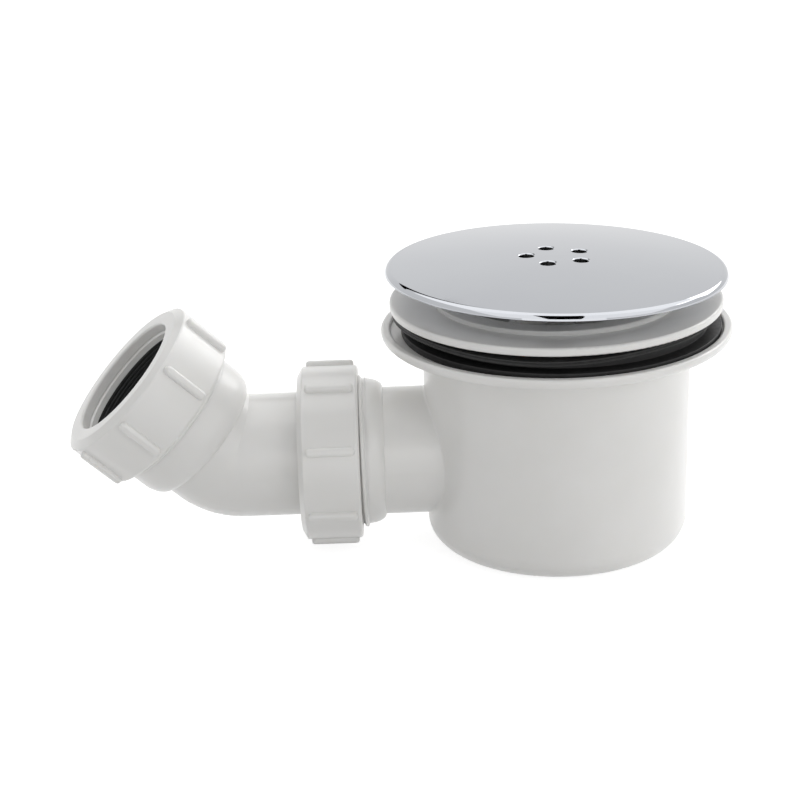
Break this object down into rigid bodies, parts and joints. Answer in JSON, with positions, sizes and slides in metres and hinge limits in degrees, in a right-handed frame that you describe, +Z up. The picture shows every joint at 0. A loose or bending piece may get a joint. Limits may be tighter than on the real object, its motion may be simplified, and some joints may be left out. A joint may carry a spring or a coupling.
{
  "type": "shower trap",
  "caption": "Round shower trap: chromed domed cover, clamping flange and rubber seals, bowl body, and a swivelling 45 degree elbow outlet with ribbed compression nuts.",
  "frame": {"origin": "centre of the flat underside of the trap body, on the axis of the bowl", "axes": "+Z up along the axis of the bowl and cover, -X along the outlet stub, +Y completes the frame"},
  "size_m": [0.2285, 0.1196, 0.1013],
  "materials": {
    "white_plastic": "satin moulded polypropylene",
    "chrome": "bright chrome plate",
    "black_rubber": "matt black rubber"
  },
  "bodies": {
    "trap": {"trap_body": "white_plastic", "water_cup": "white_plastic", "lower_seal": "black_rubber", "outlet_seal": "black_rubber"},
    "flange_seal": {"upper_seal": "black_rubber"},
    "flange": {"tray_flange": "white_plastic", "insert": "white_plastic", "insert_ring": "black_rubber", "cover": "chrome"},
    "outlet_ring": {"outlet_washer": "white_plastic"},
    "outlet_union": {"outlet_nut": "white_plastic"},
    "swivel": {"elbow": "white_plastic", "elbow_seal": "black_rubber"},
    "elbow_ring": {"elbow_washer": "white_plastic"},
    "elbow_union": {"elbow_nut": "white_plastic"}
  },
  "joints": [
    {"name": "flange_lift", "type": "slide", "parent": "trap", "child": "flange_seal", "axis": [0, 0, 1], "range_m": [0, 0.012]},
    {"name": "flange_screw", "type": "hinge", "parent": "flange_seal", "child": "flange", "pos_m": [0, 0, 0.0843], "axis": [0, 0, 1], "range_deg": [0, 1080]},
    {"name": "outlet_ring_slide", "type": "slide", "parent": "trap", "child": "outlet_ring", "axis": [-1, 0, 0], "range_m": [0, 0.014]},
    {"name": "outlet_nut_turn", "type": "hinge", "parent": "outlet_ring", "child": "outlet_union", "pos_m": [-0.0827, 0, 0.0327], "axis": [-1, 0, 0], "range_deg": [0, 1800]},
    {"name": "elbow_swivel", "type": "hinge", "parent": "trap", "child": "swivel", "pos_m": [-0.0827, 0, 0.0327], "axis": [1, 0, 0], "range_deg": [-99, 81]},
    {"name": "elbow_ring_slide", "type": "slide", "parent": "swivel", "child": "elbow_ring", "axis": [-0.7071, -0.1106, 0.6984], "range_m": [0, 0.014]},
    {"name": "elbow_nut_turn", "type": "hinge", "parent": "elbow_ring", "child": "elbow_union", "pos_m": [-0.14371, -0.00449, 0.06105], "axis": [-0.7071, -0.1106, 0.6984], "range_deg": [0, 1800]}
  ],
  "couplings": [
    {"joint": "flange_lift", "follows": "flange_screw", "m_per_rad": 0.00063662},
    {"joint": "outlet_ring_slide", "follows": "outlet_nut_turn", "m_per_rad": 0.00044563},
    {"joint": "elbow_ring_slide", "follows": "elbow_nut_turn", "m_per_rad": 0.00044563}
  ]
}
